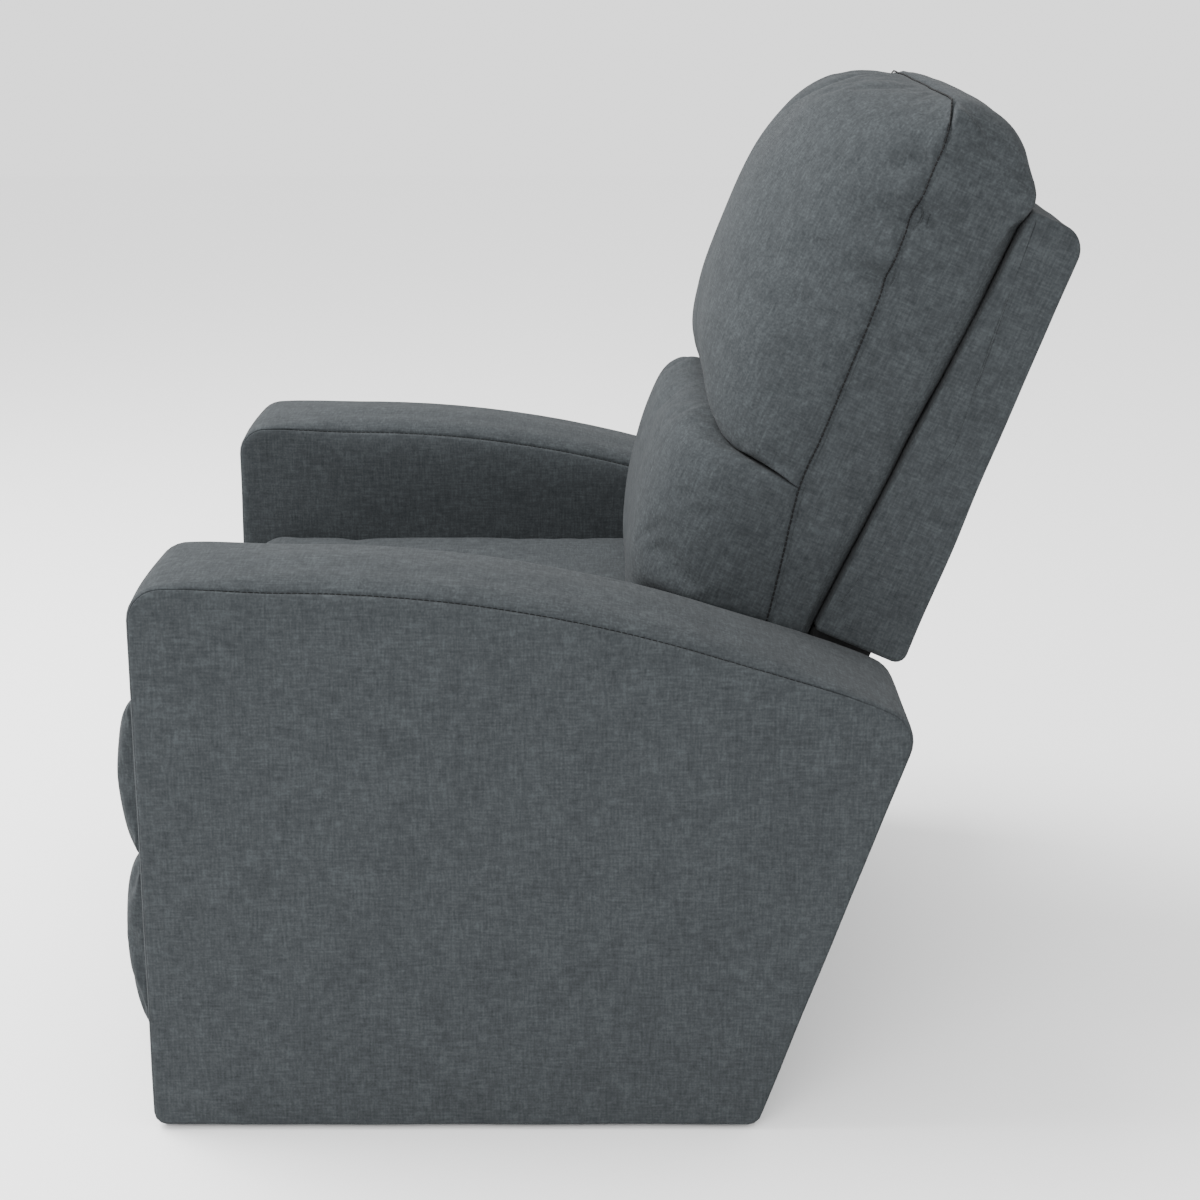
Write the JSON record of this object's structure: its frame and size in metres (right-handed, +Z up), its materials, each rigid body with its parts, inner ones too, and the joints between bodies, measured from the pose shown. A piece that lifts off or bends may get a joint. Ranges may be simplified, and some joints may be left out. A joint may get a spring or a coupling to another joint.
{
  "type": "recliner armchair",
  "caption": "Padded push-back recliner armchair with arched arms, a two-pillow back that leans on a sliding seat carriage, and a footrest that folds out on links.",
  "frame": {"origin": "centre of the footprint's bounding box, on the floor", "axes": "+X to the sitter's left, +Y to the rear (the sitter faces -Y), +Z up"},
  "size_m": [0.92, 0.99, 1.0323],
  "materials": {
    "upholstery_fabric": "soft heathered weave, matt",
    "arm_foam": "cut polyurethane foam, matt",
    "plywood": "sanded, uncoated",
    "lumber": "planed, uncoated",
    "coated_steel": "black electrocoat, semi-gloss",
    "zinc_fasteners": "zinc plated",
    "spring_steel": "oil tempered wire",
    "nylon": "moulded nylon",
    "glide_plastic": "moulded polyethylene",
    "webbing": "woven jute elastic webbing"
  },
  "bodies": {
    "base": {"left_arm_cover": "upholstery_fabric", "right_arm_cover": "upholstery_fabric", "left_arm_foam": "arm_foam", "right_arm_foam": "arm_foam", "left_arm_outer_ply": "plywood", "right_arm_outer_ply": "plywood", "left_arm_inner_ply": "plywood", "right_arm_inner_ply": "plywood", "left_arm_lumber": "lumber", "right_arm_lumber": "lumber", "floor_glides": "glide_plastic", "front_stretcher": "lumber", "rear_stretcher": "lumber", "rear_panel_board": "plywood", "rear_panel_cover": "upholstery_fabric", "left_track": "coated_steel", "right_track": "coated_steel", "track_bolts": "zinc_fasteners"},
    "seat_carriage": {"left_side_plate": "coated_steel", "right_side_plate": "coated_steel", "track_glide_blocks": "nylon", "front_cross_tube": "coated_steel", "rear_cross_tube": "coated_steel", "hip_pins": "zinc_fasteners", "back_pivot_pins": "zinc_fasteners", "seat_front_rail": "lumber", "seat_rear_board": "plywood", "seat_left_rail": "lumber", "seat_right_rail": "lumber", "seat_springs": "spring_steel", "seat_spring_clips": "nylon", "seat_bolts": "zinc_fasteners", "seat_cushion": "upholstery_fabric", "footrest_springs": "spring_steel"},
    "back": {"left_back_bracket": "coated_steel", "right_back_bracket": "coated_steel", "left_back_post": "lumber", "right_back_post": "lumber", "back_top_rail": "lumber", "back_bottom_rail": "lumber", "back_webbing": "webbing", "back_bolts": "zinc_fasteners", "outer_back": "upholstery_fabric", "inner_back_pad": "upholstery_fabric", "upper_pillow": "upholstery_fabric", "lumbar_pillow": "upholstery_fabric"},
    "drive_arms": {"drive_links": "coated_steel", "drive_cross_tube": "coated_steel"},
    "guide_arms": {"guide_links": "coated_steel"},
    "knee_joint": {"knee_plates": "coated_steel", "knee_pins": "zinc_fasteners"},
    "outer_arms": {"outer_links": "coated_steel", "outer_cross_tube": "coated_steel"},
    "footrest": {"footrest_brackets": "coated_steel", "footrest_pins": "zinc_fasteners", "footrest_board": "plywood", "footrest_screws": "zinc_fasteners", "upper_footrest_pad": "upholstery_fabric", "lower_footrest_pad": "upholstery_fabric"}
  },
  "joints": [
    {"name": "seat_slide", "type": "slide", "parent": "base", "child": "seat_carriage", "axis": [0, -1, 0], "range_m": [0, 0.09]},
    {"name": "back_recline", "type": "hinge", "parent": "seat_carriage", "child": "back", "pos_m": [0, 0.19, 0.33], "axis": [-1, 0, 0], "range_deg": [0, 30]},
    {"name": "footrest_open", "type": "hinge", "parent": "seat_carriage", "child": "drive_arms", "pos_m": [0, -0.33, 0.25], "axis": [-1, 0, 0], "range_deg": [0, 112.26], "deforming": ["footrest_springs"]},
    {"name": "guide_swing", "type": "hinge", "parent": "seat_carriage", "child": "guide_arms", "pos_m": [0, -0.37334, 0.28386], "axis": [-1, 0, 0], "range_deg": [0, 112.26]},
    {"name": "knee_level", "type": "hinge", "parent": "drive_arms", "child": "knee_joint", "pos_m": [0, -0.24943, 0.0615], "axis": [-1, 0, 0], "range_deg": [-112.26, 0]},
    {"name": "outer_swing", "type": "hinge", "parent": "drive_arms", "child": "outer_arms", "pos_m": [0, -0.24943, 0.0615], "axis": [-1, 0, 0], "range_deg": [-134.94, 0]},
    {"name": "footrest_tilt", "type": "hinge", "parent": "outer_arms", "child": "footrest", "pos_m": [0, -0.405, 0.195], "axis": [-1, 0, 0], "range_deg": [0, 112.69]}
  ],
  "couplings": [
    {"joint": "seat_slide", "follows": "back_recline", "m_per_rad": 0.17189},
    {"joint": "guide_swing", "follows": "footrest_open", "ratio": 1},
    {"joint": "knee_level", "follows": "footrest_open", "ratio": -1},
    {"joint": "outer_swing", "follows": "footrest_open", "ratio": -1.2021},
    {"joint": "footrest_tilt", "follows": "footrest_open", "ratio": 1.0038}
  ]
}
